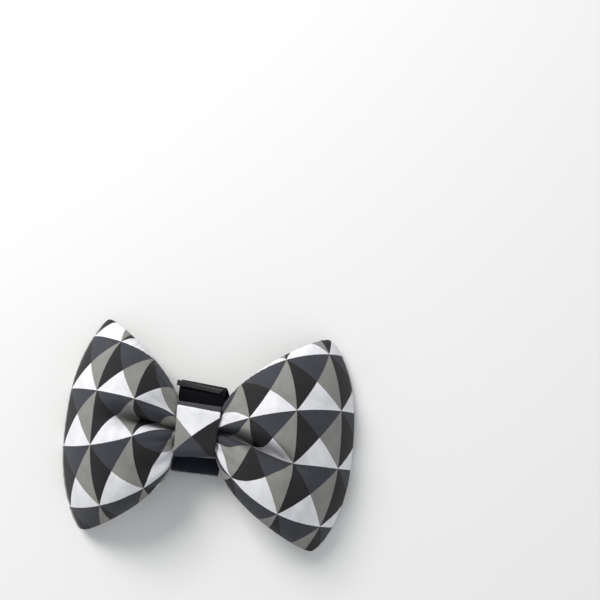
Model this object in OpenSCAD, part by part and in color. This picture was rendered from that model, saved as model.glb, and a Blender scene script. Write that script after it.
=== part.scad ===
// Slip-on bow tie: two padded cloth wings, pinched in the middle by a cloth knot,
// on a strap of hook-and-loop tape that closes round a collar.
// It lies on its back: +X to the viewer's right, +Y up the bow, +Z out of its front.
// The origin is at the middle of the footprint, on the surface that the bow lies on.

/* [Wings] */
// Width of the bow from one outer edge to the other
bow_w = 100.4; // [92:0.2:108]
// Height of the bow at the corners of the wings
bow_h = 73; // [66:0.5:80]
// How far the corners stand in from the widest point of the outer edge
corner_set_in = 11.2; // [6:0.2:14]
// How late the outer edge turns in towards the corners
edge_fullness = 2.5; // [2:0.1:3.5]
// How late the upper edge flares out of the knot (smaller is fuller)
upper_flare = 0.66; // [0.5:0.01:0.85]
// How late the lower edge flares out of the knot (smaller is fuller)
lower_flare = 0.54; // [0.45:0.01:0.8]
// Height of the inner face of the front panel at the crown
crown_z = 26.2; // [22:0.2:29]
// Height of the inner face of the back panel where the wing lies down
belly_z = 0.85; // [0.8:0.05:2]
// Share of the way from the knot to the outer edge at which the back has come down
belly_at = 0.72; // [0.6:0.02:0.8]
// Share of the way from the knot to the outer edge at which the crown stands
crown_at = 0.38; // [0.32:0.01:0.46]
// Height of the seam along the outer edges
edge_z = 0.9; // [0.8:0.1:3]
// Height of the seam half way along the upper and lower edges
side_z = 14; // [10:0.5:15]
// Depth of the dimple that runs out from the knot
dimple = 4.5; // [0:0.5:6]

/* [Cloth] */
// Thickness of a panel, cloth and interlining together
cloth_t = 0.6; // [0.4:0.05:0.8]
// Air left between the wadding and each panel
wadding_gap = 0.25; // [0.15:0.05:0.4]

/* [Knot] */
// Width of the knot
knot_w = 14; // [12:0.2:16]
// Height of the knot
knot_h = 17.4; // [16:0.2:20]
// Where the middle of the knot stands along the bow
knot_x = -2.4; // [-3:0.1:0]
// Height of the knot's front face
knot_front_z = 18.2; // [17.8:0.1:20]
// Height of the back of the knot's ring
knot_back_z = 9.9; // [9.8:0.05:10]
// Thickness of the folded strip that makes the knot
wrap_t = 1; // [0.8:0.05:1.1]
// Radius of the knot's front edges
knot_r = 3.2; // [2:0.1:4]

/* [Strap] */
// Width of the hook-and-loop tape
tape_w = 16; // [14:0.5:20]
// Where the middle of the strap stands along the bow
strap_x = -3; // [-4:0.1:0]
// Highest point of the strap up the bow
strap_top = 16.4; // [15:0.1:18]
// Lowest point of the strap down the bow
strap_bottom = -14.7; // [-17:0.1:-14]
// Thickness of the hook tape's ground
hook_tape_t = 0.7; // [0.5:0.05:0.8]
// Height of the hooks
hook_h = 0.8; // [0.6:0.05:1]
// Thickness of the loop tape with its pile
loop_tape_t = 1.3; // [1.1:0.05:1.5]
// Clear height of the passage for the collar
collar_gap = 5; // [4.6:0.1:5.2]
// Sideways shift of the flap against the rest of the strap
flap_shift = 1.2; // [0:0.1:2]
// Free end of the flap
flap_end = -8.3; // [-9.5:0.1:-6]
// Free end of the loop tape's arm
arm_end = 5.5; // [3:0.1:5.5]

/* [Thread] */
// Thickness of the sewing thread
thread_d = 0.3; // [0.2:0.05:0.4]
// Turns of thread round the pinch
thread_turns = 6; // [3:1:8]

/* [Hidden] */
$fn = 64;

tiny = 0.01;
hair = 0.05;

// The sheet of a wing is a grid: columns run out from the knot, rows run up the bow.
knot_columns = 2;
wing_columns = 14;
columns = knot_columns + wing_columns;
rows = 18;
pinch_half_h = knot_h / 2 - wrap_t - 0.7;
pinch_half_w = knot_w / 2 + 0.4;
pinch_front_z = knot_front_z - wrap_t - 1.3;
pinch_back_z = knot_back_z + wrap_t + 1.1;
pinch_seam_z = (pinch_front_z + pinch_back_z) / 2;
crown_round = 2.1;
crown_soft = 0.88;
puff_square = 3;
puff_soft = 0.6;
belly_round = 1.3;
dimple_half = 0.22;
dimple_reach = 0.6;

// Strap: the two tapes lie against the back of the knot and fold back under it.
tape_top_z = knot_back_z - 0.55;
arm_low_z = hook_tape_t + hook_h + 0.2;
arm_high_z = arm_low_z + loop_tape_t;
anchored_z = arm_high_z + collar_gap;
hook_fold_r = tape_top_z / 2;
hook_fold_y = strap_top - hook_fold_r;
loop_fold_r = (tape_top_z - arm_low_z) / 2;
loop_fold_y = strap_bottom + loop_fold_r;
loop_fold_z = arm_low_z + loop_fold_r;
flap_hinge_z = hook_tape_t / 2;
arm_hinge_z = arm_low_z + loop_tape_t / 2;
flap_relief = 0.65;
arm_relief = 0.95;
hinge_gap = 0.3;
butt_gap = 0.3;
hook_margin = 0.6;
seam_box = [11, 5.6];
seam_y = 4.4;
seam_pitch = 2;

// ---- the sheet ----

// share of the way from knot to outer edge, for a column counted from the knot's middle
function reach(i) = max(0, (abs(i) - knot_columns) / wing_columns);
// row position from -1 at the lower edge to 1 at the upper edge, closer together at the edges
function row_v(j) = sin(90 * (2 * j / rows - 1));
function side(i) = i < 0 ? -1 : 1;
function outer_x(v) = bow_w / 2 - corner_set_in * pow(abs(v), edge_fullness);

function sheet_x(i, v) =
  abs(i) <= knot_columns
    ? knot_x + i / knot_columns * pinch_half_w
    : let (start = knot_x + side(i) * pinch_half_w)
      start + reach(i) * (side(i) * outer_x(v) - start);

function half_h(s, v) =
  pinch_half_h + (bow_h / 2 - pinch_half_h) * pow(s, v > 0 ? upper_flare : lower_flare);
function sheet_y(i, v) = v * half_h(reach(i), v);

// height along the middle row: up from the pinch to a crown, then down to the outer edge
function crest(s, low_z, top_z) =
  s < crown_at
    ? low_z + (top_z - low_z) * pow(1 - pow((crown_at - s) / crown_at, crown_round), crown_soft)
    : edge_z + (top_z - edge_z)
      * pow(max(0, 1 - pow((s - crown_at) / (1 - crown_at), crown_round)), crown_soft);

// height of the seam along the upper and lower edges
function seam_z(s) = edge_z + (pinch_seam_z + (side_z - pinch_seam_z) * min(1, 2 * s) - edge_z)
  * pow(max(0, 1 - pow(s, 3)), 0.8);

function puff(v) = pow(max(0, 1 - pow(abs(v), puff_square)), puff_soft);
function valley(s, v) = dimple * min(1, s / 0.12) * pow(max(0, 1 - s / dimple_reach), 1.5)
  * exp(-pow(v / dimple_half, 2));

// the back falls from the pinch to its belly in one sagging line
function sag(s) = belly_z + (pinch_back_z - belly_z) * pow(max(0, 1 - s / belly_at), belly_round);

// a face runs from the seam at the edges to its own height along the middle row
function face_z(s, v, middle_z) = seam_z(s) + (middle_z - seam_z(s)) * puff(v);
function front_z(i, v) = let (s = reach(i))
  face_z(s, v, crest(s, pinch_front_z, crown_z)) - valley(s, v);
function back_z(i, v) = let (s = reach(i)) face_z(s, v, sag(s));

function sheet_point(i, v, z) = [sheet_x(i, v), sheet_y(i, v), z];

// ---- closed grid solid between an upper and a lower face ----

// upper and lower hold one list of points for each column
module grid_solid(upper, lower) {
  ni = len(upper);
  nj = len(upper[0]);
  points = concat([for (c = upper) each c], [for (c = lower) each c]);
  function at(i, j, layer) = layer * ni * nj + i * nj + j;
  function quad(a, b, c, d) = [[a, b, c], [a, c, d]];
  faces = concat(
    [for (i = [0 : ni - 2], j = [0 : nj - 2])
      each quad(at(i, j, 0), at(i, j + 1, 0), at(i + 1, j + 1, 0), at(i + 1, j, 0))],
    [for (i = [0 : ni - 2], j = [0 : nj - 2])
      each quad(at(i, j, 1), at(i + 1, j, 1), at(i + 1, j + 1, 1), at(i, j + 1, 1))],
    [for (i = [0 : ni - 2])
      each quad(at(i, 0, 1), at(i, 0, 0), at(i + 1, 0, 0), at(i + 1, 0, 1))],
    [for (i = [0 : ni - 2])
      each quad(at(i + 1, nj - 1, 1), at(i + 1, nj - 1, 0), at(i, nj - 1, 0), at(i, nj - 1, 1))],
    [for (j = [0 : nj - 2])
      each quad(at(0, j + 1, 1), at(0, j + 1, 0), at(0, j, 0), at(0, j, 1))],
    [for (j = [0 : nj - 2])
      each quad(at(ni - 1, j, 1), at(ni - 1, j, 0), at(ni - 1, j + 1, 0), at(ni - 1, j + 1, 1))]
  );
  polyhedron(points, faces);
}

// a straight stitch that lies between two points and leaves a gap at each end
module stitch(a, b, fill = 0.65) {
  d = b - a;
  run = norm(d);
  translate((a + b) / 2)
    rotate([0, -asin(d[2] / run), atan2(d[1], d[0])])
      cube([run * fill, thread_d, thread_d], center = true);
}

// a closed line of stitches round a rectangle in the XY plane, with its top at z = 0
module box_seam(size, pitch) {
  for (axis = [0, 1], end = [-1, 1]) {
    run = size[axis];
    count = round(run / pitch);
    for (k = [0 : count - 1]) {
      a = -run / 2 + run * k / count;
      b = -run / 2 + run * (k + 1) / count;
      off = end * size[1 - axis] / 2;
      translate([0, 0, -thread_d / 2])
        stitch(axis == 0 ? [a, off, 0] : [off, a, 0], axis == 0 ? [b, off, 0] : [off, b, 0]);
    }
  }
}

// a slab with rounded edges along X, standing on the YZ plane, exact at its corners
module rounded_bar(h, low_z, high_z, r) {
  rotate([90, 0, 90]) linear_extrude(knot_w) union() {
    translate([-h / 2 + r, low_z]) square([h - 2 * r, high_z - low_z]);
    translate([-h / 2, low_z + r]) square([h, high_z - low_z - 2 * r]);
    for (y = [-h / 2 + r, h / 2 - r], z = [low_z + r, high_z - r]) translate([y, z]) circle(r);
  }
}

// ---- wings ----

module front_panel() {
  color([0.62, 0.62, 0.63]) grid_solid(
    [for (i = [-columns : columns])
      [for (j = [0 : rows]) sheet_point(i, row_v(j), front_z(i, row_v(j)) + cloth_t)]],
    [for (i = [-columns : columns])
      [for (j = [0 : rows]) sheet_point(i, row_v(j), front_z(i, row_v(j)))]]
  );
}

module back_panel() {
  color([0.3, 0.31, 0.33]) grid_solid(
    [for (i = [-columns : columns])
      [for (j = [0 : rows]) sheet_point(i, row_v(j), back_z(i, row_v(j)))]],
    [for (i = [-columns : columns])
      [for (j = [0 : rows]) sheet_point(i, row_v(j), back_z(i, row_v(j)) - cloth_t)]]
  );
}

module wadding() {
  last = columns - 1;
  color("white") grid_solid(
    [for (i = [-last : last])
      [for (j = [3 : rows - 3]) sheet_point(i, row_v(j), front_z(i, row_v(j)) - wadding_gap)]],
    [for (i = [-last : last])
      [for (j = [3 : rows - 3]) sheet_point(i, row_v(j), back_z(i, row_v(j)) + wadding_gap)]]
  );
}

// lockstitches that join the two panels just inside their turned edge
module edge_seam_stitches() {
  inset = 0.985;
  outer = columns - 0.4;
  function seam_point(i, v) = sheet_point(i, v, (front_z(i, v) + back_z(i, v)) / 2);
  color("dimgray") for (s = [-1, 1]) {
    for (edge = [-1, 1], i = [knot_columns + 1 : columns - 2])
      stitch(seam_point(s * i, edge * inset), seam_point(s * (i + 1), edge * inset));
    for (j = [2 : rows - 3])
      stitch(seam_point(s * outer, row_v(j) * inset), seam_point(s * outer, row_v(j + 1) * inset));
  }
}

// turns of thread that hold the pinch
module gather_thread() {
  pitch = thread_d + 0.4;
  gap = 0.2;
  turn_r = 2.4;
  h = 2 * (pinch_half_h + gap);
  low_z = pinch_back_z - cloth_t - gap;
  high_z = pinch_front_z + cloth_t + gap;
  color("black") for (k = [0 : thread_turns - 1])
    translate([knot_x + (k - (thread_turns - 1) / 2) * pitch - thread_d / 2, 0, 0])
      intersection() {
        difference() {
          rounded_bar(h + 2 * thread_d, low_z - thread_d, high_z + thread_d, turn_r + thread_d);
          translate([-1, 0, 0]) scale([2, 1, 1]) rounded_bar(h, low_z, high_z, turn_r);
        }
        translate([0, -h, 0]) cube([thread_d, 2 * h, 2 * high_z]);
      }
}

// ---- knot ----

// folded strip wound once round the pinch, its end lapped over at the back
module knot_wrap() {
  lap = [knot_w - 0.6, 9, 0.45];
  color([0.85, 0.85, 0.87]) translate([knot_x - knot_w / 2, 0, 0]) union() {
    difference() {
      rounded_bar(knot_h, knot_back_z, knot_front_z, knot_r);
      translate([-knot_w / 2, 0, 0]) scale([2, 1, 1])
        rounded_bar(knot_h - 2 * wrap_t, knot_back_z + wrap_t, knot_front_z - wrap_t, knot_r - wrap_t);
    }
    translate([(knot_w - lap[0]) / 2, -lap[1] / 2, knot_back_z - lap[2]])
      cube([lap[0], lap[1], lap[2] + hair]);
  }
}

// slip stitches along the lapped end of the strip
module knot_closing_stitches() {
  count = 6;
  pitch = 2;
  size = [thread_d, 1.2, thread_d];
  color("black") for (k = [0 : count - 1])
    translate([knot_x + (k - (count - 1) / 2) * pitch, 4.5, knot_back_z - 0.15])
      rotate([0, 0, 25]) cube(size, center = true);
}

// ---- strap ----

// half ring of tape that turns from the knot's back to the lower level, opening towards the bow
module fold(y, z, r, t, way, relief_z, relief_r) {
  rotate([90, 0, 90]) linear_extrude(tape_w) difference() {
    translate([y, z]) intersection() {
      circle(r);
      translate([way > 0 ? 0 : -r, -r]) square([r, 2 * r]);
    }
    translate([y, z]) circle(r - t);
    translate([y, relief_z]) circle(relief_r);
  }
}

module hook_tape_end() {
  color([0.1, 0.1, 0.11]) translate([strap_x - tape_w / 2, 0, 0]) union() {
    translate([0, butt_gap / 2, tape_top_z - hook_tape_t])
      cube([tape_w, hook_fold_y - butt_gap / 2 + tiny, hook_tape_t]);
    fold(hook_fold_y, hook_fold_r, hook_fold_r, hook_tape_t, 1, flap_hinge_z, flap_relief);
  }
}

module loop_tape_end() {
  color([0.07, 0.07, 0.1]) translate([strap_x - tape_w / 2, 0, 0]) union() {
    translate([0, loop_fold_y - tiny, anchored_z])
      cube([tape_w, -loop_fold_y - butt_gap / 2 + tiny, tape_top_z - anchored_z]);
    fold(loop_fold_y, loop_fold_z, loop_fold_r, tape_top_z - anchored_z, -1, arm_hinge_z, arm_relief);
  }
}

module hook_tape_seam() {
  color("dimgray") translate([strap_x, seam_y, tape_top_z - hook_tape_t]) box_seam(seam_box, seam_pitch);
}

module loop_tape_seam() {
  color("dimgray") translate([strap_x, -seam_y, anchored_z]) box_seam(seam_box, seam_pitch);
}

module loop_tape_arm() {
  color([0.07, 0.07, 0.1])
    translate([strap_x - tape_w / 2, loop_fold_y + hinge_gap, arm_low_z])
      cube([tape_w, arm_end - loop_fold_y - hinge_gap, loop_tape_t]);
}

module hook_tape_flap() {
  color([0.1, 0.1, 0.11]) translate([strap_x - tape_w / 2 + flap_shift, flap_end, 0])
    cube([tape_w, hook_fold_y - hinge_gap - flap_end, hook_tape_t]);
}

// the bed of hooks, with its outer size
module hook_field() {
  color([0.16, 0.16, 0.17])
    translate([strap_x - tape_w / 2 + flap_shift + hook_margin, flap_end + hook_margin, hook_tape_t])
      cube([tape_w - 2 * hook_margin, arm_end - flap_end - 2 * hook_margin, hook_h]);
}

front_panel();
back_panel();
wadding();
edge_seam_stitches();
gather_thread();
knot_wrap();
knot_closing_stitches();
hook_tape_end();
hook_tape_seam();
loop_tape_end();
loop_tape_seam();
loop_tape_arm();
hook_tape_flap();
hook_field();
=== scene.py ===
import bpy, bmesh, math
from mathutils import Matrix, Vector, noise
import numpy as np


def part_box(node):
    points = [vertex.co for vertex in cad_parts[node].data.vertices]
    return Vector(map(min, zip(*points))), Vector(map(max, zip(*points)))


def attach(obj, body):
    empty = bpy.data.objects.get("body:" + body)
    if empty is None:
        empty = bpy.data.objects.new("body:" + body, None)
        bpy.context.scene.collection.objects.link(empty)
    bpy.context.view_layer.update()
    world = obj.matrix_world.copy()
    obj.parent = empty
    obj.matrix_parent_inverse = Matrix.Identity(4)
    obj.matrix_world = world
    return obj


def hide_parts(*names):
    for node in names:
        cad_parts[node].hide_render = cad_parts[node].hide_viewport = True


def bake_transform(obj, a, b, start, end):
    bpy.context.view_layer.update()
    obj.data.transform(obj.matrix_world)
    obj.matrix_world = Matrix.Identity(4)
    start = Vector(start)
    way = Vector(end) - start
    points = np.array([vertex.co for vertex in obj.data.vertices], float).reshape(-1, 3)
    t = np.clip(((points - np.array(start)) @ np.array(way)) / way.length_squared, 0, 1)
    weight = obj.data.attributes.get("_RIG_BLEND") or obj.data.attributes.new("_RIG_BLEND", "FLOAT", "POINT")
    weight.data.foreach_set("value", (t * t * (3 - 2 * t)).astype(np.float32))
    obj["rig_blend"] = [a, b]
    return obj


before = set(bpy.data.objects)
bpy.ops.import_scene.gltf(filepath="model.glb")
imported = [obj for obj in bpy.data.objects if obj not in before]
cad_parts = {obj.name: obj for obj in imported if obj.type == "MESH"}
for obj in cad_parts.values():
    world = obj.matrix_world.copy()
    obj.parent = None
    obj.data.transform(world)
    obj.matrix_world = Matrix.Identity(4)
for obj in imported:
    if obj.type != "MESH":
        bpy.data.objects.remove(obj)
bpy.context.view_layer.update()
print("frame loaded:", ", ".join(sorted(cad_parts)))

mm = 0.001


def boxOf(*names):
    corners = [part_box(name) for name in names]
    low = Vector([min(c[0][a] for c in corners) for a in range(3)])
    high = Vector([max(c[1][a] for c in corners) for a in range(3)])
    return low, high


def mix(a, b, share):
    return a + (b - a) * share


def smooth(x, low=0.0, high=1.0):
    t = min(1.0, max(0.0, (x - low) / (high - low)))
    return t * t * (3 - 2 * t)


knotLow, knotHigh = boxOf("knot_wrap")
knotMid = (knotLow + knotHigh) / 2


# camera, floor and lights
view = dict(
    aim=(27.1 * mm, 49.8 * mm, 0), distance=305.3 * mm, tilt=11, heading=5.23, lens=51,
    floorSize=3.0, floorDrop=0.15 * mm,
    skyColour=(0.95, 0.97, 1.0), skyStrength=0.55,
    keyPlace=(-0.42, 0.52, 0.62), keySize=0.40, keyPower=7.0,
    fillPlace=(0.6, -0.4, 0.7), fillSize=0.9, fillPower=0.8)


def addLight(name, place, size, power, colour):
    data = bpy.data.lights.new(name, "AREA")
    data.energy, data.size, data.color = power, size, colour
    lamp = bpy.data.objects.new(name, data)
    lamp.location = place
    lamp.rotation_euler = (Vector((0, 0, 0.01)) - lamp.location).to_track_quat("-Z", "Y").to_euler()
    bpy.context.scene.collection.objects.link(lamp)


def makeCamera():
    data = bpy.data.cameras.new("camera")
    data.lens, data.sensor_width, data.clip_start = view["lens"], 36, 0.01
    camera = bpy.data.objects.new("camera", data)
    camera.rotation_euler = (math.radians(view["tilt"]), 0, math.radians(view["heading"]))
    back = camera.rotation_euler.to_matrix() @ Vector((0, 0, 1))
    camera.location = Vector(view["aim"]) + back * view["distance"]
    bpy.context.scene.collection.objects.link(camera)
    bpy.context.scene.camera = camera


def makeStudio():
    bm = bmesh.new()
    bmesh.ops.create_grid(bm, x_segments=1, y_segments=1, size=view["floorSize"] / 2)
    bmesh.ops.translate(bm, verts=bm.verts, vec=(0, 0, -view["floorDrop"]))
    meshObject("floor", bm, [paleFloor()])
    world = bpy.data.worlds.new("studio")
    world.use_nodes = True
    sky = world.node_tree.nodes["Background"]
    sky.inputs["Color"].default_value = (*view["skyColour"], 1)
    sky.inputs["Strength"].default_value = view["skyStrength"]
    bpy.context.scene.world = world
    addLight("key", view["keyPlace"], view["keySize"], view["keyPower"], (1, 0.99, 0.97))
    addLight("fill", view["fillPlace"], view["fillSize"], view["fillPower"], (0.96, 0.98, 1))
    bpy.context.scene.view_settings.view_transform = "Standard"


# mesh helpers
def meshObject(name, bm, materials=()):
    mesh = bpy.data.meshes.new(name)
    bm.to_mesh(mesh)
    bm.free()
    for polygon in mesh.polygons:
        polygon.use_smooth = True
    for material in materials:
        mesh.materials.append(material)
    piece = bpy.data.objects.new(name, mesh)
    bpy.context.scene.collection.objects.link(piece)
    return piece


def applyModifiers(piece):
    graph = bpy.context.evaluated_depsgraph_get()
    mesh = bpy.data.meshes.new_from_object(piece.evaluated_get(graph))
    piece.modifiers.clear()
    piece.data = mesh
    return piece


def addSubdivision(piece, levels=1):
    modifier = piece.modifiers.new("soften", "SUBSURF")
    modifier.levels = modifier.render_levels = levels


def addThickness(piece, thickness, offset=-1.0):
    modifier = piece.modifiers.new("cloth thickness", "SOLIDIFY")
    modifier.thickness, modifier.offset = thickness, offset
    modifier.use_even_offset = False


def standsFor(piece, slot, body, *nodes):
    if nodes:
        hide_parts(*nodes)
    if body:
        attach(piece, body)
    return piece


# shader maths
class Wire:
    def __init__(self, recipe, socket):
        self.recipe, self.socket = recipe, socket

    def maths(self, operation, *others):
        return self.recipe.node("Math", dict(operation=operation), self, *others)

    def __add__(self, other):
        return self.maths("ADD", other)

    def __radd__(self, other):
        return self.maths("ADD", other)

    def __sub__(self, other):
        return self.maths("SUBTRACT", other)

    def __rsub__(self, other):
        return self.recipe.node("Math", dict(operation="SUBTRACT"), other, self)

    def __mul__(self, other):
        return self.maths("MULTIPLY", other)

    def __rmul__(self, other):
        return self.maths("MULTIPLY", other)

    def __truediv__(self, other):
        return self.maths("DIVIDE", other)

    def out(self, name):
        return Wire(self.recipe, self.socket.node.outputs[name])


class Recipe:
    # a material and the nodes it is made of
    def __init__(self, name):
        self.material = bpy.data.materials.new(name)
        self.material.use_nodes = True
        self.tree = self.material.node_tree
        self.shader = self.tree.nodes["Principled BSDF"]

    def node(self, kind, settings=None, *inputs, **named):
        made = self.tree.nodes.new("ShaderNode" + kind)
        for key, value in (settings or {}).items():
            if key == "stops":
                while len(made.color_ramp.elements) < len(value):
                    made.color_ramp.elements.new(0.5)
                for element, (place, colour) in zip(made.color_ramp.elements, value):
                    element.position, element.color = place, (*colour, 1)
            else:
                setattr(made, key, value)
        for key, value in [*enumerate(inputs), *named.items()]:
            self.plug(made.inputs[key], value)
        return Wire(self, next(s for s in made.outputs if s.enabled))

    def plug(self, socket, value):
        if isinstance(value, Wire):
            self.tree.links.new(value.socket, socket)
        elif hasattr(value, "__len__") and len(value) < len(socket.default_value):
            socket.default_value = (*value, 1)
        else:
            socket.default_value = value

    def finish(self, **values):
        # the shader's sockets, named without their spaces
        for key, value in values.items():
            self.plug(next(s for s in self.shader.inputs if s.name.replace(" ", "") == key), value)
        return self.material

    def mixColour(self, share, a, b, how="MIX"):
        made = self.tree.nodes.new("ShaderNodeMix")
        made.data_type, made.blend_type = "RGBA", how
        for number, value in zip((0, 6, 7), (share, a, b)):
            self.plug(made.inputs[number], value)
        return Wire(self, made.outputs[2])

    def shade(self, share, colour, value, dark, low=0.0, high=1.0):
        # darkens a colour towards the low end of a value
        tone = self.node("ValToRGB", dict(stops=[(low, (dark,) * 3), (high, (1, 1, 1))]), value)
        return self.mixColour(share, colour, tone, "MULTIPLY")

    def split(self, vector):
        made = self.node("SeparateXYZ", None, vector)
        return made.out("X"), made.out("Y"), made.out("Z")

    def join(self, x, y, z=0.0):
        return self.node("CombineXYZ", None, x, y, z)

    def noise(self, place, scale, detail=2.0, roughness=0.5):
        return self.node("TexNoise", None, Vector=place, Scale=scale, Detail=detail, Roughness=roughness)

    def bump(self, height, distance, normal=None, strength=1.0):
        wires = dict(Height=height, Distance=distance, Strength=strength)
        if normal:
            wires["Normal"] = normal
        return self.node("Bump", None, **wires)

    def step(self, value, low, high):
        return self.node("MapRange", dict(interpolation_type="SMOOTHSTEP"), value, low, high, 0.0, 1.0)


def paleFloor():
    recipe = Recipe("pale floor")
    return recipe.finish(BaseColor=(0.80, 0.80, 0.79), Roughness=0.9, SpecularIORLevel=0.2)


# printed cotton: square cells, each cut by its diagonals into four tones
cotton = dict(
    cell=20 * mm, start=(-6 * mm, -9.2 * mm), turn=0.45,
    white=(0.86, 0.86, 0.89), grey=(0.270, 0.268, 0.250),
    slate=(0.046, 0.049, 0.060), charcoal=(0.0155, 0.0145, 0.016),
    thread=0.36 * mm, stray=0.22 * mm, edge=0.006, weaveDepth=0.05 * mm, mottle=0.22)


def plainWeave(x, y, pitch):
    # height of threads that pass over and under each other
    px, py = x / pitch, y / pitch
    across = (px * math.pi).maths("SINE").maths("ABSOLUTE")
    along = (py * math.pi).maths("SINE").maths("ABSOLUTE")
    odd = (px.maths("FLOOR") + py.maths("FLOOR")).maths("ABSOLUTE").maths("MODULO", 2.0)
    warp = across * (0.5 + 0.5 * along) * odd
    weft = along * (0.5 + 0.5 * across) * (1 - odd)
    return warp + weft * 0.85


def printedCotton(name, start, turn):
    look = cotton
    recipe = Recipe(name)
    cut = recipe.node("UVMap", dict(uv_map="cut"))
    x, y, _ = recipe.split(cut)
    strayX = (recipe.noise(cut, 1100, 1) - 0.5) * look["stray"]
    strayY = (recipe.noise(cut, 1350, 1) - 0.5) * look["stray"]
    placed = recipe.node("Mapping", dict(vector_type="TEXTURE"), recipe.join(x + strayX, y + strayY),
                         (*start, 0), (0, 0, math.radians(turn)), (look["cell"],) * 3)
    share = recipe.node("VectorMath", dict(operation="FRACTION"), placed)
    u, v, _ = recipe.split(share)
    falling = recipe.step(1 - u - v, -look["edge"], look["edge"])
    rising = recipe.step(u - v, -look["edge"], look["edge"])
    lower = recipe.mixColour(falling, look["grey"], look["white"])
    upper = recipe.mixColour(falling, look["slate"], look["charcoal"])
    ink = recipe.mixColour(rising, upper, lower)
    ink = recipe.shade(look["mottle"], ink, recipe.noise(cut, 160, 4, 0.65), 0.25, 0.30, 0.62)
    height = plainWeave(x, y, look["thread"])
    # painted shade: the print is darkened in the low places of the weave, between the threads
    ink = recipe.shade(0.25, ink, height, 0.35, 0.0, 0.55)
    slub = recipe.noise(recipe.join(x * 0.3, y), 2600, 1)
    fine = recipe.bump(height + slub * 0.4, look["weaveDepth"])
    soft = recipe.bump(recipe.noise(cut, 110, 2, 0.45), 0.25 * mm, fine, 0.5)
    return recipe.finish(BaseColor=ink, Roughness=0.80, Normal=soft, SpecularIORLevel=0.30,
                         SheenWeight=0.05, SheenRoughness=0.5)


# the wings: two panels sewn together round the edge, turned, filled and pinched
wings = dict(
    halfCut=70 * mm, pinchCut=46 * mm, edgeCut=79 * mm, flareCut=0.75,
    hiddenCut=6 * mm, pleatCut=12 * mm, backCut=0.86, cornerRound=0.05, cornerPower=9,
    outline=50.2 * mm, cornerIn=10.7 * mm, cornerY=38.4 * mm, edgeFull=2.5,
    upperFlare=0.62, lowerFlare={-1: 0.45, 1: 0.54}, seamHeight=1.0 * mm,
    crown=26.5 * mm, belly=4 * mm, sideSeam=15.5 * mm, crownAt=0.40,
    pinchHalf=7.0 * mm, pinchFold=1.3 * mm, pinchApart=2 * mm, swell=(1.3 * mm, -1.5 * mm),
    knotPlay=0.3 * mm, columns=40, rows=32,
    simScale=10, frames=36, stretch=15, bend=30, fill=8, sink=0.05)

# the creases that the knot presses into the front, on the left and on the right
creases = {
    -1: dict(start=0.0, end=0.03, rise=1.5 * mm, floor=9 * mm, held=0.30, fades=0.44, gone=0.62,
             wide=0.11, above=(0, 0), below=(11 * mm, 8 * mm), reach=0.85),
    1: dict(start=0.02, end=-0.30, rise=0, floor=6 * mm, held=0.46, fades=0.58, gone=0.76,
            wide=0.08, above=(8 * mm, 5.8 * mm), below=(14 * mm, 10.4 * mm), reach=0.85)}


def cutHalf(share):
    return mix(wings["pinchCut"], wings["edgeCut"], abs(share) ** wings["flareCut"]) / 2


def fromKnot(x):
    # 0 where the cloth leaves the knot, 1 at the outer edge
    return max(0, abs(x) - wings["hiddenCut"]) / (wings["halfCut"] - wings["hiddenCut"])


def creaseAt(side, s):
    crease = creases[side]
    return mix(crease["start"], crease["end"], min(1, s / crease["fades"]))


def startForm(u, v, front, rim):
    # where a point of the cut begins: u runs along the bow and v up it, both from -1 to 1
    w = wings
    side = -1 if u < 0 else 1
    knotHalf = (knotHigh.x - knotLow.x) / 2 + w["knotPlay"]
    hidden = w["hiddenCut"] / w["halfCut"]
    s = max(0.0, (abs(u) - hidden) / (1 - hidden))
    outer = w["outline"] - w["cornerIn"] * abs(v) ** w["edgeFull"]
    pinchX = knotMid.x + side * knotHalf * min(1, abs(u) / hidden)
    x = pinchX + s * (side * outer - pinchX)
    flare = w["upperFlare"] if v > 0 else w["lowerFlare"][side]
    y = v * mix(w["pinchHalf"], w["cornerY"], s ** flare)
    bulge = 0 if rim else (1 - abs(v) ** 4) * w["swell"][0 if front else 1]
    fold = math.cos(4 * math.pi * v) * (1 - abs(v) ** 6) * w["pinchFold"]
    if s == 0:
        return Vector((x, y, knotMid.z + bulge - fold))
    top = w["crown"] if front else w["belly"]
    low = knotMid.z + (w["pinchApart"] if front else -w["pinchApart"])
    if s < w["crownAt"]:
        crest = low + (top - low) * (1 - ((w["crownAt"] - s) / w["crownAt"]) ** 2) ** 0.9
    else:
        away = (s - w["crownAt"]) / (1 - w["crownAt"])
        crest = w["seamHeight"] + (top - w["seamHeight"]) * max(0, 1 - away ** 2) ** 0.9
    seam = w["seamHeight"] + (mix(knotMid.z, w["sideSeam"], min(1, 2 * s)) - w["seamHeight"]) \
        * max(0, 1 - s ** 3) ** 0.8
    z = seam if rim else seam + (crest - seam) * max(0, 1 - abs(v) ** 3) ** 0.6
    if front and not rim:
        crease = creases[side]
        floor = mix(crease["floor"], z, smooth(s, 0.2, crease["gone"]))
        away = (v - creaseAt(side, s)) / crease["wide"]
        z = mix(z, min(z, floor), math.exp(-away ** 2))
        y += crease["rise"] * smooth(s, 0, 0.25) * math.exp(-(away / 2) ** 2)
    return Vector((x, y, z))


def takenIn(x, y):
    # how far the print is drawn to the knot and into the crease, which swallows some cloth
    side = -1 if x < 0 else 1
    crease, s = creases[side], fromKnot(x)
    away = y / cutHalf(x / wings["halfCut"]) - creaseAt(side, s)
    share = max(0, 1 - s / crease["reach"]) ** 2 * smooth(abs(away), 0, 0.09 + 0.5 * s * s)
    along, across = crease["above" if away > 0 else "below"]
    return side * along * abs(away) * share, math.copysign(across * share, away)


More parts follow.
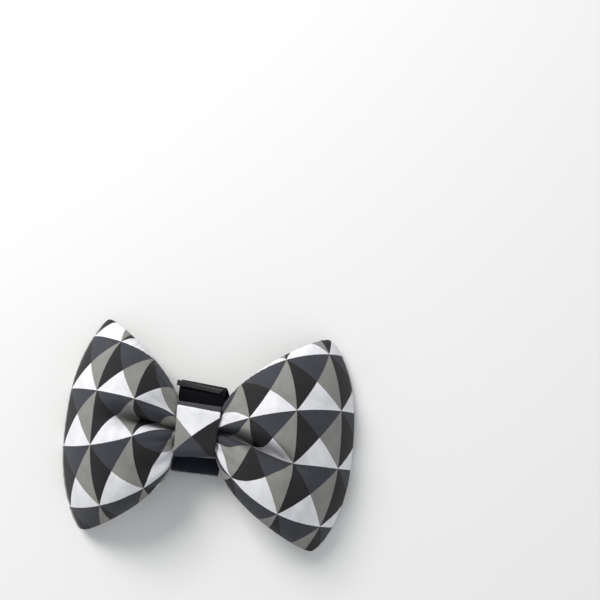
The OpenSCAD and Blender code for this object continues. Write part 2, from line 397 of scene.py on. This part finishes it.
def pinHold(u, v, front):
    # how firmly a point is held: by the knot, along the creases, and at the outer edges
    side = -1 if u < 0 else 1
    hidden = wings["hiddenCut"] / wings["halfCut"]
    s = (abs(u) - hidden) / (1 - hidden)
    if s < 1e-6 or s > 1 - 1e-6:
        return 1.0
    if front and abs(v - creaseAt(side, s)) < 1.01 / wings["rows"]:
        return 1 - smooth(s, creases[side]["held"], creases[side]["fades"])
    return 0.0


def makeCut():
    # both panels, joined all round; the layer named flat keeps where each point was cut
    w = wings
    bm = bmesh.new()
    flat = bm.verts.layers.float_vector.new("flat")
    held = bm.verts.layers.float.new("held")
    uv = bm.loops.layers.uv.new("cut")
    for front in (True, False):
        made = bmesh.ops.create_grid(bm, x_segments=2 * w["columns"], y_segments=w["rows"], size=1)["verts"]
        faces = list({f for v in made for f in v.link_faces})
        for v in made:
            v[held] = pinHold(v.co.x, v.co.y, front)
            rim = max(abs(v.co.x), abs(v.co.y)) > 0.999
            turn = 1 - w["cornerRound"] * abs(v.co.x * v.co.y) ** w["cornerPower"]
            u, t = v.co.x * turn, v.co.y * turn
            v[flat] = (u * w["halfCut"], t * cutHalf(u), 0 if rim else (0.5 if front else -0.5) * mm)
            v.co = startForm(u, t, front, rim)
        for face in faces:
            face.material_index = 0 if front else 1
            size = 1 if front else w["backCut"]
            for loop in face.loops:
                x, y, _ = loop.vert[flat]
                pleat = w["pleatCut"] * smooth(x, -w["hiddenCut"], w["hiddenCut"])
                along, across = takenIn(x, y) if front else (0, 0)
                loop[uv].uv = ((x + pleat + along) * size, (y + across) * size)
        if not front:
            bmesh.ops.reverse_faces(bm, faces=faces)
    bmesh.ops.remove_doubles(bm, verts=bm.verts, dist=1e-7)
    return bm


def inflate(piece, cuts):
    # fills and settles the bow with cloth physics, at a scale that the solver likes
    w = wings
    size = w["simScale"]
    piece.data.transform(Matrix.Scale(size, 4))
    piece.shape_key_add(name="formed")
    key = piece.shape_key_add(name="as cut")
    for point, cut in zip(key.data, cuts):
        point.co = cut * size
    key.value = 0
    bm = bmesh.new()
    bmesh.ops.create_grid(bm, x_segments=1, y_segments=1, size=0.2 * size)
    table = meshObject("table", bm)
    table.modifiers.new("stop", "COLLISION")
    table.collision.thickness_outer = 0.002
    cloth = piece.modifiers.new("cloth", "CLOTH")
    rules, touch = cloth.settings, cloth.collision_settings
    rules.quality, rules.mass, rules.air_damping = 8, 0.3, 2
    rules.tension_stiffness = rules.compression_stiffness = w["stretch"]
    rules.shear_stiffness, rules.bending_stiffness = w["stretch"] / 2, w["bend"]
    rules.tension_damping = rules.compression_damping = rules.shear_damping = 5
    rules.bending_damping = 0.5
    rules.vertex_group_mass, rules.rest_shape_key = "pins", key
    rules.use_pressure, rules.uniform_pressure_force = True, w["fill"]
    rules.effector_weights.gravity = w["sink"]
    touch.use_self_collision, touch.self_distance_min, touch.distance_min = True, 0.006, 0.004
    cloth.point_cache.frame_end = w["frames"]
    for number in range(1, w["frames"] + 1):
        bpy.context.scene.frame_set(number)
    applyModifiers(piece)
    piece.data.transform(Matrix.Scale(1 / size, 4))
    bpy.context.scene.frame_set(1)
    bpy.data.objects.remove(table)


def makeShell():
    bm = makeCut()
    flat, held = bm.verts.layers.float_vector["flat"], bm.verts.layers.float["held"]
    cuts, holds = [Vector(v[flat]) for v in bm.verts], [v[held] for v in bm.verts]
    shell = meshObject("shell", bm)
    pins = shell.vertex_groups.new(name="pins")
    for index, hold in enumerate(holds):
        if hold > 0:
            pins.add([index], hold, "REPLACE")
    inflate(shell, cuts)
    print("wings filled")
    return shell


panels = dict(
    lift=0.42 * mm, roll=2.2 * mm, thickness=0.28 * mm, cornerReach=3 * mm,
    pucker=0.12 * mm, puckerPitch=3.4 * mm, puckerStart=0.9 * mm, puckerFade=(1.5 * mm, 5 * mm),
    gather=1.9 * mm, gatherPitch=5.5, gatherDip=0.2, gatherStart=3 * mm, gatherFade=(0.05, 0.42))


def seamDistance(cut):
    return min(wings["halfCut"] - abs(cut.x), cutHalf(cut.x / wings["halfCut"]) - abs(cut.y))


def gathered(cut):
    # small pleats that fan out from the knot
    p, s = panels, fromKnot(cut.x)
    v = cut.y / cutHalf(cut.x / wings["halfCut"])
    spot = Vector((math.copysign(3.3, cut.x) + 1.2 * s, v * p["gatherPitch"], cut.z * 900))
    ridge = abs(noise.noise(spot)) - p["gatherDip"]
    begun = smooth(abs(cut.x) - wings["hiddenCut"], 0, p["gatherStart"])
    return p["gather"] * ridge * begun * (1 - smooth(s, *p["gatherFade"]))


def makePanel(shell, name, side, material, node, size=1.0):
    # one face of the shell, its edge rolled in to the seam
    p = panels
    bm = bmesh.new()
    bm.from_mesh(shell.data)
    others = [f for f in bm.faces if f.material_index != side]
    bmesh.ops.delete(bm, geom=others, context="FACES")
    for face in bm.faces:
        face.material_index = 0
    panel = meshObject(name, bm, [material])
    addSubdivision(panel)
    applyModifiers(panel)
    bm = bmesh.new()
    bm.from_mesh(panel.data)
    bm.normal_update()
    flat = bm.verts.layers.float_vector["flat"]
    moves = []
    for v in bm.verts:
        cut = Vector(v[flat])
        away = seamDistance(cut)
        along = cut.x if abs(cut.x) < wings["halfCut"] - p["cornerReach"] else cut.y
        wave = math.sin(along * 2 * math.pi / p["puckerPitch"] + 2.5 * noise.noise(cut * 160))
        near = smooth(away, 0, p["puckerStart"]) * (1 - smooth(away, *p["puckerFade"]))
        lift = p["lift"] * smooth(away, -0.4 * mm, p["roll"]) + p["pucker"] * wave * near
        lift += gathered(cut) * smooth(away, 0, 2 * mm)
        moves.append(v.normal * lift)
    for v, move in zip(bm.verts, moves):
        v.co += move
    bm.to_mesh(panel.data)
    bm.free()
    addThickness(panel, p["thickness"])
    addSubdivision(panel)
    applyModifiers(panel)
    for polygon in panel.data.polygons:
        polygon.use_smooth = True
    standsFor(panel, "printed_cotton", "root", node)
    area = 2 * sum(2 * cutHalf((i + 0.5) / 200) for i in range(200)) * wings["halfCut"] / 200
    area += wings["pleatCut"] * wings["pinchCut"] / 2
    area * size ** 2
    return panel


# the wadding follows the inside of the shell and stops short of the seam
wadding = dict(gap=1.0 * mm, thin=0.35, lump=0.35 * mm, fill=0.7)


def woolly():
    recipe = Recipe("polyester wadding")
    place = recipe.node("TexCoord").out("Object")
    strands = recipe.noise(place, 2400, 4, 0.7)
    colour = recipe.shade(0.5, (0.86, 0.86, 0.84), strands, 0.6, 0.3, 0.7)
    clumps = recipe.noise(place, 300, 3)
    return recipe.finish(BaseColor=colour, Roughness=0.95, SpecularIORLevel=0.1,
                         Normal=recipe.bump(strands * 0.5 + clumps, 0.5 * mm))


def makeWadding(shell):
    bm = bmesh.new()
    bm.from_mesh(shell.data)
    flat = bm.verts.layers.float_vector["flat"]
    rim = [v for v in bm.verts if abs(v[flat].z) < 0.1 * mm]
    bmesh.ops.delete(bm, geom=rim, context="VERTS")
    pairs = {}
    for v in bm.verts:
        pairs.setdefault((round(v[flat].x, 6), round(v[flat].y, 6)), []).append(v)
    for a, b in pairs.values():
        middle, apart = (a.co + b.co) / 2, (a.co - b.co).length
        keep = max(wadding["thin"], 1 - 2 * wadding["gap"] / max(apart, 1e-6))
        for v in (a, b):
            rough = noise.noise(v.co * 220) * wadding["lump"]
            v.co = middle + (v.co - middle) * keep * (1 + rough / max(apart, 3 * mm))
    bmesh.ops.bridge_loops(bm, edges=[e for e in bm.edges if e.is_boundary])
    bmesh.ops.smooth_vert(bm, verts=bm.verts, factor=0.5, use_axis_x=True, use_axis_y=True, use_axis_z=True)
    bmesh.ops.recalc_face_normals(bm, faces=bm.faces)
    for face in bm.faces:
        face.material_index = 0
    piece = meshObject("waddingFill", bm, [woolly()])
    standsFor(piece, "polyester_wadding", "root", "wadding")


# sewing thread, and small pieces that repeat
thread = dict(thick=0.28 * mm, long=1.5 * mm, pitch=2.2 * mm, inset=1.0 * mm)


def blackThread():
    recipe = Recipe("black thread")
    x, y, z = recipe.split(recipe.node("TexCoord").out("Object"))
    twist = ((x + y + z) * (2 * math.pi / (0.25 * mm))).maths("SINE")
    # painted shade: the thread is darkened in the grooves of its twist
    colour = recipe.shade(0.6, (0.022, 0.022, 0.024), twist * 0.5 + 0.5, 0.4)
    return recipe.finish(BaseColor=colour, Roughness=0.55, Normal=recipe.bump(twist, 0.03 * mm))


def stitchShape():
    # one stitch along X: a thread that dives into the cloth at both ends
    bm = bmesh.new()
    bmesh.ops.create_cone(bm, cap_ends=True, segments=6, radius1=thread["thick"] / 2,
                          radius2=thread["thick"] / 2, depth=thread["long"])
    middle = [e for e in bm.edges if abs(e.verts[0].co.z - e.verts[1].co.z) > 0.5 * thread["long"]]
    bmesh.ops.subdivide_edges(bm, edges=middle, cuts=3, use_grid_fill=True)
    bmesh.ops.rotate(bm, verts=bm.verts, matrix=Matrix.Rotation(math.pi / 2, 3, "Y"))
    for v in bm.verts:
        along = v.co.x / (thread["long"] / 2)
        v.co.z -= 0.5 * thread["thick"] * along ** 4
        v.co.y *= 1 - 0.4 * abs(along) ** 6
    return bm


def scatter(name, shape, places, materials):
    # copies one small shape to every place, each a 4 x 4 matrix
    template = bpy.data.meshes.new(name + "Shape")
    shape.to_mesh(template)
    shape.free()
    bm = bmesh.new()
    for place in places:
        start = len(bm.verts)
        bm.from_mesh(template)
        bm.verts.ensure_lookup_table()
        bmesh.ops.transform(bm, matrix=place, verts=bm.verts[start:])
    bpy.data.meshes.remove(template)
    return meshObject(name, bm, materials)


def placed(origin, along, up):
    # a matrix that turns X to run along, and Z to point up
    x = along.normalized()
    y = up.cross(x).normalized()
    z = x.cross(y)
    turn = Matrix((x, y, z)).transposed().to_4x4()
    return Matrix.Translation(origin) @ turn


def makeSeamStitches(shell, material):
    # lockstitches that join the panels, hidden just inside the turned edge
    bm = bmesh.new()
    bm.from_mesh(shell.data)
    flat = bm.verts.layers.float_vector["flat"]
    rim = [v for v in bm.verts if abs(v[flat].z) < 0.1 * mm and abs(v[flat].x) > wings["hiddenCut"]]
    places = []
    for v in rim:
        sides = [e.other_vert(v) for e in v.link_edges]
        inner = [o.co for o in sides if abs(o[flat].z) > 0.1 * mm]
        outer = [o.co for o in sides if abs(o[flat].z) < 0.1 * mm]
        if len(inner) < 2 or len(outer) < 2:
            continue
        inward = (inner[0] + inner[1]) / 2 - v.co
        spot = v.co + inward.normalized() * thread["inset"]
        if places and (places[-1].to_translation() - spot).length < thread["pitch"] * 0.8:
            continue
        places.append(placed(spot, outer[1] - outer[0], (inner[0] - inner[1]).normalized()))
    bm.free()
    piece = scatter("seamStitches", stitchShape(), places, [material])
    standsFor(piece, "black_thread", "root", "edge_seam_stitches")


# folded strips: a flattened tube swept along a route in the YZ plane
def routePoints(corners, steps=10):
    # corners are (y, z, radius); a corner with a radius becomes an arc
    points = [Vector((corners[0][0], corners[0][1]))]
    for (y0, z0, _), (y1, z1, radius), (y2, z2, _) in zip(corners, corners[1:], corners[2:]):
        corner = Vector((y1, z1))
        before, after = (Vector((y0, z0)) - corner).normalized(), (Vector((y2, z2)) - corner).normalized()
        half = before.angle(after) / 2
        centre = corner + (before + after).normalized() * radius / math.sin(half)
        first = corner + before * radius / math.tan(half) - centre
        last = corner + after * radius / math.tan(half) - centre
        sweep = first.angle_signed(last)
        for i in range(steps + 1):
            turned = first.copy()
            turned.rotate(Matrix.Rotation(-sweep * i / steps, 2))
            points.append(centre + turned)
    points.append(Vector((corners[-1][0], corners[-1][1])))
    return points


def routeLength(points):
    return sum((b - a).length for a, b in zip(points, points[1:]))


def alongRoute(points, distance):
    # point and direction at a distance along the route
    for a, b in zip(points, points[1:]):
        piece = (b - a).length
        if distance <= piece or b is points[-1]:
            return a + (b - a) * min(1.0, distance / max(piece, 1e-9)), (b - a).normalized()
        distance -= piece


def stadium(q, width, thick):
    # once round a flattened tube: two long faces and two rolled edges
    r, half = thick / 2, width / 2 - thick / 2
    turn, t = divmod(q * 2, 1)
    if t < 0.7:
        x, z = mix(half, -half, t / 0.7), r
    else:
        angle = math.pi * (0.5 + (t - 0.7) / 0.3)
        x, z = -half + r * math.cos(angle), r * math.sin(angle)
    return (-x, -z) if turn == 1 else (x, z)


def makeStrip(name, points, look, materials, shape=None):
    # shape may move each finished point; it is given the point, how far along, and across
    bm = bmesh.new()
    uv = bm.loops.layers.uv.new("cut")
    made = bmesh.ops.create_grid(bm, x_segments=look["steps"], y_segments=look["ring"], size=1)["verts"]
    length, spots = routeLength(points), {}
    for v in made:
        t, q = (v.co.x + 1) / 2, (v.co.y + 1) / 2
        ended = smooth(min(t, 1 - t), 0, look.get("endShare", 0.01))
        thick = look["thick"] * mix(look.get("endThick", 1), 1, ended)
        x, lift = stadium(q, look["width"], thick)
        point, way = alongRoute(points, t * length)
        normal = Vector((-way.y, way.x)) * look.get("outward", 1)
        place = Vector((look["x"] + x, *(point + normal * lift)))
        spots[v] = (shape(place, t, x, lift) if shape else place, (x, t * length))
    for face in bm.faces:
        for loop in face.loops:
            loop[uv].uv = spots[loop.vert][1]
    for v, (place, _) in spots.items():
        v.co = place
    bmesh.ops.remove_doubles(bm, verts=bm.verts, dist=1e-6)
    if not look.get("hollow"):
        bmesh.ops.holes_fill(bm, edges=[e for e in bm.edges if e.is_boundary])
    bmesh.ops.recalc_face_normals(bm, faces=bm.faces)
    return meshObject(name, bm, materials)


# the knot: a double strip of the same print, wound once round the pinch and lapped at the back
knot = dict(
    hollow=True, steps=110, ring=36, width=knotHigh.x - knotLow.x, thick=0.95 * mm,
    endThick=0.5, endShare=0.16, x=knotMid.x, outward=1, corner=2.3 * mm,
    lap=0.45 * mm, lapStep=1.6 * mm, lapEnd=4.5 * mm, tuckEnd=-3.2 * mm, drag=0.10 * mm,
    puff=0.55 * mm, taper=0.05, skew=0.07, printShift=(-1.0 * mm, -2.65 * mm), printTall=1.11,
    cloth=0.28 * mm, turn=-1.8)


def makeKnot(material):
    k = knot
    inset = k["thick"] / 2
    low, high = knotLow.z + k["lap"] + inset, knotHigh.z - inset
    bottom, top = knotLow.y + inset, knotHigh.y - inset
    lapZ = knotLow.z + k["lap"] / 2
    lapStart = k["tuckEnd"] - 1 * mm
    points = routePoints([
        (k["tuckEnd"], low + 0.1 * mm, 0), (top, low, k["corner"]), (top, high, k["corner"]),
        (bottom, high, k["corner"]), (bottom, low, k["corner"]),
        (lapStart, low, 2 * mm), (lapStart + k["lapStep"], lapZ, 1 * mm), (k["lapEnd"], lapZ, 0)])

    def settle(place, t, x, lift):
        # the front swells a little between its folded edges, with faint drags
        across = x / (k["width"] / 2)
        front = smooth(place.z, low, high)
        up = (place.y - knotMid.y) / (knotHigh.y - knotMid.y)
        ridge = k["drag"] * (math.sin(across * 5.2 + 1.1 + 0.8 * up) + noise.noise(place * 260))
        swell = k["puff"] * (1 - across ** 2) * (1 - up ** 4) + ridge
        place.z += swell * front
        place.x = k["x"] + (place.x - k["x"]) * (1 + k["taper"] * up * front)
        place.y *= 1 - k["skew"] * across * front
        return place

    piece = makeStrip("knotWrap", points, k, [material], settle)
    # the print is laid out from the middle of the front
    length = routeLength(points)
    tries = [d * length / 400 for d in range(400)]
    toFront = [d for d in tries if alongRoute(points, d)[0].y > high - 0.1 * mm]
    front = (toFront[0] + toFront[-1]) / 2
    for loop in piece.data.uv_layers["cut"].data:
        loop.uv = (k["printShift"][0] - loop.uv.x, k["printShift"][1] + (loop.uv.y - front) * k["printTall"])
    addSubdivision(piece)
    addThickness(piece, k["cloth"])
    applyModifiers(piece)
    standsFor(piece, "printed_cotton", "root", "knot_wrap")


# the strap: a hook tape and a loop tape, each sewn under the knot and folded back beneath it
endLow, endHigh = boxOf("hook_tape_end")
flapLow, flapHigh = boxOf("hook_tape_flap")
loopLow, loopHigh = boxOf("loop_tape_end")
armLow, armHigh = boxOf("loop_tape_arm")
fieldLow, fieldHigh = boxOf("hook_field")

hookTape = dict(steps=60, ring=28, thick=0.68 * mm, width=endHigh.x - endLow.x, x=(endLow.x + endHigh.x) / 2,
                outward=1, skew=0.10, wave=0.10 * mm, rib=0.42 * mm)
loopTape = dict(hookTape, steps=60, thick=0.62 * mm, x=(loopLow.x + loopHigh.x) / 2, outward=-1,
                skew=0.03, pile=0.62 * mm)


def wovenTape(name, colour, rib, fuzz, gloss=0.35, lint=0.25):
    # narrow woven tape: fine ribs across, a little lint
    recipe = Recipe(name)
    x, y, _ = recipe.split(recipe.node("UVMap", dict(uv_map="cut")))
    place = recipe.node("TexCoord").out("Object")
    weave = plainWeave(x, y, rib)
    nap = recipe.noise(place, 1800, 3, 0.7)
    # painted shade: the tape's colour is darkened in the low places of its weave
    tint = recipe.shade(0.5, colour, weave, 0.35, 0.0, 0.7)
    tint = recipe.shade(0.35, tint, recipe.noise(place, 420, 3), 0.3, 0.3, 0.7)
    return recipe.finish(BaseColor=tint, Roughness=0.62 + 0.2 * nap, SpecularIORLevel=gloss,
                         SheenWeight=lint, SheenRoughness=0.35,
                         Normal=recipe.bump(weave + nap * fuzz, 0.06 * mm))


def shapeTape(look, mid, reach, outer):
    # the fold stands a little askew, and the tape is not dead flat
    def settle(place, t, x, lift):
        share = smooth(abs(place.y), mid, outer)
        place.y -= look["skew"] * (place.x - look["x"]) * share * reach
        middle = 1 - smooth(abs(x), 5 * mm, 8 * mm)
        place.z += look["wave"] * math.sin(place.x * 620 + place.y * 240) * middle
        return place
    return settle


hookHem = dict(hookTape, steps=24, thick=0.42 * mm, out=-0.7 * mm, long=2.3 * mm, widen=0.10, slant=0.8 * mm,
               moved=-0.9 * mm)


def makeHem(top, out, foldZ, finish):
    # the turned edge that lies over the fold; its tape is coloured lighter than the hook tape, a painted highlight
    # where light falls on the fold
    h = hookHem
    over = top + hookTape["thick"] / 2 + h["thick"] / 2
    points = routePoints([(out - h["long"], over, 0), (out + h["out"], over, 1.2 * mm),
                          (out + h["out"], foldZ, 0)])
    settle = shapeTape(h, out - 3 * mm, 1, out)

    def widen(place, t, x, lift):
        place = settle(place, t, x, lift)
        inner = 1 - smooth(t, 0.1, 0.6)
        place.y -= h["widen"] * x * inner
        place.x += h["moved"] - h["slant"] * inner * smooth(x, 0, h["width"] / 2)
        return place

    hem = makeStrip("hookTapeHem", points, h, [finish], widen)
    return standsFor(hem, "hook_tape", "root")


def makeHookTape(finish, hemPaintedHighlight):
    h = hookTape
    inset = h["thick"] / 2
    foldZ, foldR = (endHigh.z + endLow.z) / 2, (endHigh.z - endLow.z) / 2 - inset
    foldY = endHigh.y - (endHigh.z - endLow.z) / 2
    top, low, out = endHigh.z - inset, endLow.z + inset, endHigh.y - inset
    settle = shapeTape(h, foldY, 1, out)
    upper = makeStrip("hookTapeEnd", routePoints([
        (endLow.y, top, 0), (out, top, foldR * 0.999), (out, foldZ - 0.05 * mm, 0)]), h, [finish], settle)
    standsFor(upper, "hook_tape", "root", "hook_tape_end")
    hem = makeHem(top, out, foldZ, hemPaintedHighlight)
    shift = (flapLow.x + flapHigh.x) / 2 - h["x"]

    def slant(place, t, x, lift):
        place = settle(place, t, x, lift)
        place.x += shift * smooth(t, 0, 0.35)
        return place

    lower = makeStrip("hookTapeFlap", routePoints([
        (out, foldZ + 0.05 * mm, 0), (out, low, foldR * 0.999), (flapLow.y, low, 0)]), h, [finish], slant)
    standsFor(lower, "hook_tape", None, "hook_tape_flap")
    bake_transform(lower, "root", "flap", start=(0, endHigh.y - 2.5 * mm, foldZ), end=(0, foldY - 1.5 * mm, foldZ))
    for piece, long, more in ((upper, foldY - endLow.y + foldR * 1.6, [hem]),
                              (lower, foldY - flapLow.y + foldR * 1.6, [])):
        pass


def makeLoopTape(finish):
    p = loopTape
    inset = p["thick"] / 2
    # the woven ground lies on the inner side, and the pile stands on the outer side
    top, low = loopHigh.z - p["pile"] - inset, armLow.z + p["pile"] + inset
    out, foldR = loopLow.y + p["pile"] + inset, (top - low) / 2
    foldZ, foldY = (top + low) / 2, out + foldR
    settle = shapeTape(p, -foldY, 1, -out)
    routes = {
        "loopTapeEnd": [(loopHigh.y, top, 0), (out, top, foldR * 0.999), (out, foldZ - 0.05 * mm, 0)],
        "loopTapeArm": [(out, foldZ + 0.05 * mm, 0), (out, low, foldR * 0.999), (armHigh.y, low, 0)]}
    made = {}
    for name, corners in routes.items():
        points = routePoints(corners)
        piece = makeStrip(name, points, p, [finish], settle)
        places = []
        length, count = routeLength(points), 0
        rows, columns = int(length / pile["pitch"]), int((p["width"] - 1 * mm) / pile["pitch"])
        for i in range(rows):
            for j in range(columns):
                count += 1
                wild = [noise.cell(Vector((count * 3.7 + k * 19.1, i * 1.3, j * 2.9))) for k in range(5)]
                point, way = alongRoute(points, length * (i + 0.5 + 0.5 * wild[0]) / rows)
                x = ((j + 0.5 + 0.6 * wild[1]) / columns - 0.5) * (p["width"] - 0.6 * mm)
                out3 = Vector((0, -way.y, way.x)) * p["outward"]
                spot = settle(Vector((p["x"] + x, *point)) + out3 * inset * 0.8, 0.5, x, 0)
                lean = Vector((math.cos(wild[2] * 6.3), math.sin(wild[2] * 6.3) * way.x,
                               math.sin(wild[2] * 6.3) * way.y))
                up = (out3 + 0.5 * Vector((wild[3], way.x * wild[4], way.y * wild[4]))).normalized()
                size = Matrix.Scale(0.8 + 0.35 * wild[4], 4)
                places.append(placed(spot, lean.cross(up).cross(up) * -1, up) @ size)
        loops = scatter(name.replace("Tape", "Pile"), pileLoop(), places, [pileFibre()])
        made[name] = (piece, loops, length)
    (upper, upperPile, upperLong), (lower, lowerPile, lowerLong) = made.values()
    standsFor(upper, "loop_tape", "root", "loop_tape_end")
    standsFor(upperPile, "loop_tape", "root")
    standsFor(lower, "loop_tape", None, "loop_tape_arm")
    standsFor(lowerPile, "loop_tape", None)
    for piece in (lower, lowerPile):
        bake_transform(piece, "root", "lower_arm",
                 start=(0, out + 1.5 * mm, foldZ), end=(0, foldY + 1.5 * mm, foldZ))


# pile loops and hooks
pile = dict(pitch=0.62 * mm, height=0.55 * mm, wide=0.26 * mm, fibre=0.075 * mm,
            colour=(0.003, 0.005, 0.016))
hooks = dict(rows=13, columns=13, stem=0.62 * mm, tip=0.24 * mm, thick=0.17 * mm, base=0.22 * mm)


def bentWire(points, thick, sides=4):
    # a thin wire swept along a few points
    bm = bmesh.new()
    ring = bmesh.ops.create_circle(bm, segments=sides, radius=thick / 2, cap_ends=True)["verts"]
    way = (points[1] - points[0]).normalized()
    turn = Vector((0, 0, 1)).rotation_difference(way).to_matrix().to_4x4()
    bmesh.ops.transform(bm, matrix=Matrix.Translation(points[0]) @ turn, verts=ring)
    face = bm.faces[:][0]
    for i, (a, b) in enumerate(zip(points, points[1:])):
        ended = bmesh.ops.extrude_face_region(bm, geom=[face])["geom"]
        verts = [g for g in ended if isinstance(g, bmesh.types.BMVert)]
        face = next(g for g in ended if isinstance(g, bmesh.types.BMFace))
        bmesh.ops.translate(bm, verts=verts, vec=b - a)
        after = (points[i + 2] - b).normalized() if i + 2 < len(points) else (b - a).normalized()
        bend = (b - a).normalized().rotation_difference(after).to_matrix()
        bmesh.ops.rotate(bm, verts=verts, cent=b, matrix=bend)
    bmesh.ops.recalc_face_normals(bm, faces=bm.faces)
    return bm


def pileLoop():
    steps = 5
    turns = [math.pi * i / steps for i in range(steps + 1)]
    arch = [Vector((-math.cos(a) * pile["wide"], 0, math.sin(a) * pile["height"])) for a in turns]
    return bentWire(arch, pile["fibre"], 3)


def hookShape():
    h = hooks
    bend = [Vector((0, 0, 0)), Vector((0, 0, h["stem"] * 0.6))]
    for i in range(1, 6):
        angle = math.pi * 1.15 * i / 5
        bend.append(Vector(((1 - math.cos(angle)) * h["tip"], 0,
                            h["stem"] * 0.6 + math.sin(angle) * h["tip"])))
    return bentWire(bend, h["thick"], 5)


def pileFibre():
    recipe = Recipe("loop pile")
    place = recipe.node("TexCoord").out("Object")
    tint = recipe.shade(0.6, pile["colour"], recipe.noise(place, 900, 2), 0.35, 0.3, 0.7)
    return recipe.finish(BaseColor=tint, Roughness=0.7, SpecularIORLevel=0.3, SheenWeight=0.08)


def mouldedHooks():
    recipe = Recipe("moulded hooks")
    place = recipe.node("TexCoord").out("Object")
    speck = recipe.noise(place, 1500, 2)
    tint = recipe.shade(0.4, (0.016, 0.016, 0.018), speck, 0.5, 0.3, 0.7)
    return recipe.finish(BaseColor=tint, Roughness=0.36 + 0.12 * speck, CoatWeight=0.1,
                         Normal=recipe.bump(speck, 0.02 * mm))


def makeHooks(finish):
    h = hooks
    width, long = fieldHigh.x - fieldLow.x, fieldHigh.y - fieldLow.y
    bm = bmesh.new()
    bmesh.ops.create_cube(bm, size=1, matrix=Matrix.Translation(
        ((fieldLow.x + fieldHigh.x) / 2, (fieldLow.y + fieldHigh.y) / 2, fieldLow.z + h["base"] / 2))
        @ Matrix.Diagonal((width, long, h["base"], 1)))
    bmesh.ops.bevel(bm, geom=bm.edges[:], offset=0.08 * mm, segments=2, profile=0.5,
                    affect="EDGES", material=-1)
    ground = meshObject("hookBacking", bm, [finish])
    standsFor(ground, "moulded_hooks", "flap", "hook_field")
    places = []
    for i in range(h["columns"]):
        for j in range(h["rows"]):
            x = fieldLow.x + (i + 0.5) * width / h["columns"]
            y = fieldLow.y + (j + 0.5) * long / h["rows"]
            way = 1 if i % 2 else -1
            foot = Vector((x, y, fieldLow.z + h["base"] * 0.9))
            places.append(placed(foot, Vector((0, way, 0)), Vector((0, 0, 1))))
    standsFor(scatter("hooks", hookShape(), places, [finish]), "moulded_hooks", "flap")


makeCamera()
makeStudio()
shell = makeShell()
cottonFace = printedCotton("printed cotton", cotton["start"], cotton["turn"])
cottonKnot = printedCotton("printed cotton, knot", (-cotton["cell"] / 2,) * 2, knot["turn"])
threadFinish = blackThread()
makePanel(shell, "frontPanel", 0, cottonFace, "front_panel")
makePanel(shell, "backPanel", 1, cottonFace, "back_panel", wings["backCut"])
makeWadding(shell)
makeSeamStitches(shell, threadFinish)
bpy.data.objects.remove(shell)
print("panels, wadding and seam finished")
makeKnot(cottonKnot)
print("knot finished")

# the hem's tape is lighter than the hook tape's own colour: a painted highlight on the lit fold
makeHookTape(wovenTape("hook tape", (0.0025, 0.003, 0.006), hookTape["rib"], 0.8, 0.10, 0.03),
             wovenTape("hook tape hem, painted highlight", (0.017, 0.017, 0.018), hookTape["rib"], 0.3))
makeLoopTape(wovenTape("loop tape ground", (0.005, 0.007, 0.018), loopTape["rib"], 1.0, 0.25, 0.10))
makeHooks(mouldedHooks())
print("strap finished")
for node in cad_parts.values():
    if not node.hide_render:
        print("kept from the frame:", node.name)
        node.data.materials.clear()
        node.data.materials.append(threadFinish)
